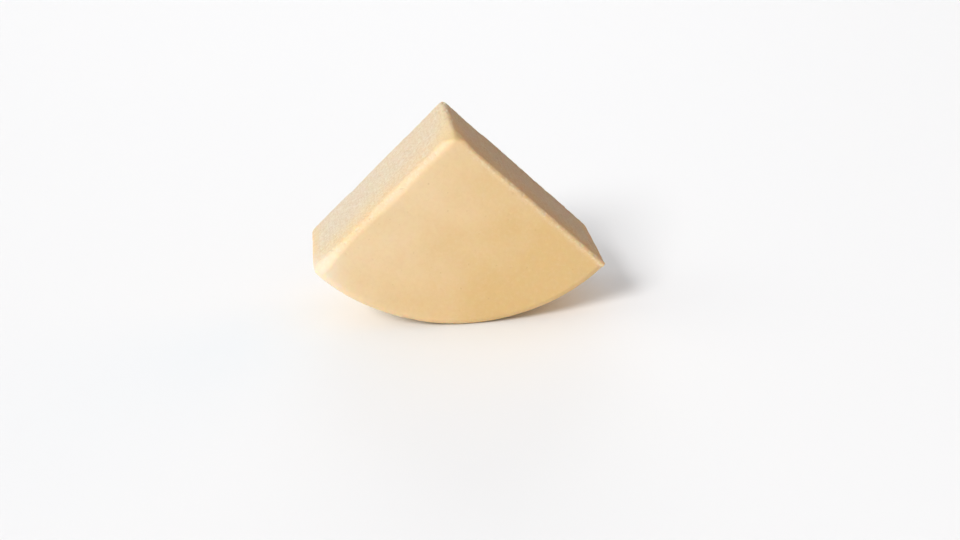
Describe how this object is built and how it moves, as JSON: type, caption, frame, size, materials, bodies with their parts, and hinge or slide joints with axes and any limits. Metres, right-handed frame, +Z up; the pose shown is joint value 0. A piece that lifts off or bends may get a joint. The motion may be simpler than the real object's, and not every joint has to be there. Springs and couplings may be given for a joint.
{
  "type": "pecorino romano cheese wedge",
  "caption": "Quarter-wheel slab of hard pale sheep's milk cheese with a smooth straw-coloured rind, standing on its curved rind with the tip of the wedge up.",
  "frame": {"origin": "on the floor, under the middle of the piece's box", "axes": "+Z is up, from the pressed-flat spot on the curved rind to the tip of the wedge; the wheel's natural flat face looks to -Y; +X points to the end of the longer cut"},
  "size_m": [0.2148, 0.0804, 0.1502],
  "materials": {
    "cheese": "matte, a little waxy"
  },
  "bodies": {
    "root": {"cheese_wedge": "cheese"}
  },
  "joints": []
}
